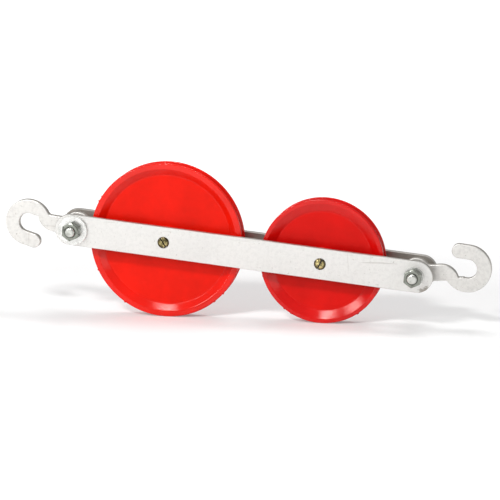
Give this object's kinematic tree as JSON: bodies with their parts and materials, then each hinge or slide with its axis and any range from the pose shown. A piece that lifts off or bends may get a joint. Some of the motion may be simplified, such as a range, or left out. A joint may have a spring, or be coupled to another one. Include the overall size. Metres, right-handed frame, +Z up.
{
  "type": "stringing block",
  "caption": "In-line rope block with a large and a small grooved sheave between flat side plates and a plate hook at each end.",
  "frame": {"origin": "on the ground under the middle of the overall box, with the block standing on its two sheaves", "axes": "+X along the block from the large sheave to the small one, -Y the side with the nuts, +Z up"},
  "size_m": [0.3954, 0.0452, 0.125],
  "materials": {
    "sheave_plastic": "satin red moulding",
    "plate_metal": "mill finish, lightly scratched",
    "hook_metal": "mill finish, sawn edges",
    "zinc_steel": "zinc plated",
    "axle_steel": "turned",
    "screw_brass": "turned, slotted",
    "bush_bronze": "sintered"
  },
  "bodies": {
    "frame": {"front_plate": "plate_metal", "rear_plate": "plate_metal", "large_axle": "axle_steel", "small_axle": "axle_steel", "large_axle_screw_front": "screw_brass", "large_thrust_washer_front": "axle_steel", "large_axle_screw_rear": "screw_brass", "large_thrust_washer_rear": "axle_steel", "small_axle_screw_front": "screw_brass", "small_thrust_washer_front": "axle_steel", "small_axle_screw_rear": "screw_brass", "small_thrust_washer_rear": "axle_steel", "left_bolt": "zinc_steel", "left_nut": "zinc_steel", "left_washer_front": "zinc_steel", "left_spacer_front": "zinc_steel", "left_washer_rear": "zinc_steel", "left_spacer_rear": "zinc_steel", "right_bolt": "zinc_steel", "right_nut": "zinc_steel", "right_washer_front": "zinc_steel", "right_spacer_front": "zinc_steel", "right_washer_rear": "zinc_steel", "right_spacer_rear": "zinc_steel"},
    "large_sheave": {"large_sheave": "sheave_plastic", "large_bush": "bush_bronze"},
    "small_sheave": {"small_sheave": "sheave_plastic", "small_bush": "bush_bronze"},
    "left_hook": {"left_hook": "hook_metal"},
    "right_hook": {"right_hook": "hook_metal"}
  },
  "joints": [
    {"name": "large_sheave_spin", "type": "hinge", "parent": "frame", "child": "large_sheave", "pos_m": [-0.06331, 0.00175, 0.0625], "axis": [0, 1, 0], "continuous": true},
    {"name": "small_sheave_spin", "type": "hinge", "parent": "frame", "child": "small_sheave", "pos_m": [0.06358, 0.00175, 0.05], "axis": [0, 1, 0], "continuous": true},
    {"name": "left_hook_pivot", "type": "hinge", "parent": "frame", "child": "left_hook", "pos_m": [-0.13795, 0.00175, 0.06985], "axis": [0, 1, 0], "range_deg": [-85, 90]},
    {"name": "right_hook_pivot", "type": "hinge", "parent": "frame", "child": "right_hook", "pos_m": [0.13822, 0.00175, 0.04265], "axis": [0, 1, 0], "range_deg": [-90, 105]}
  ]
}
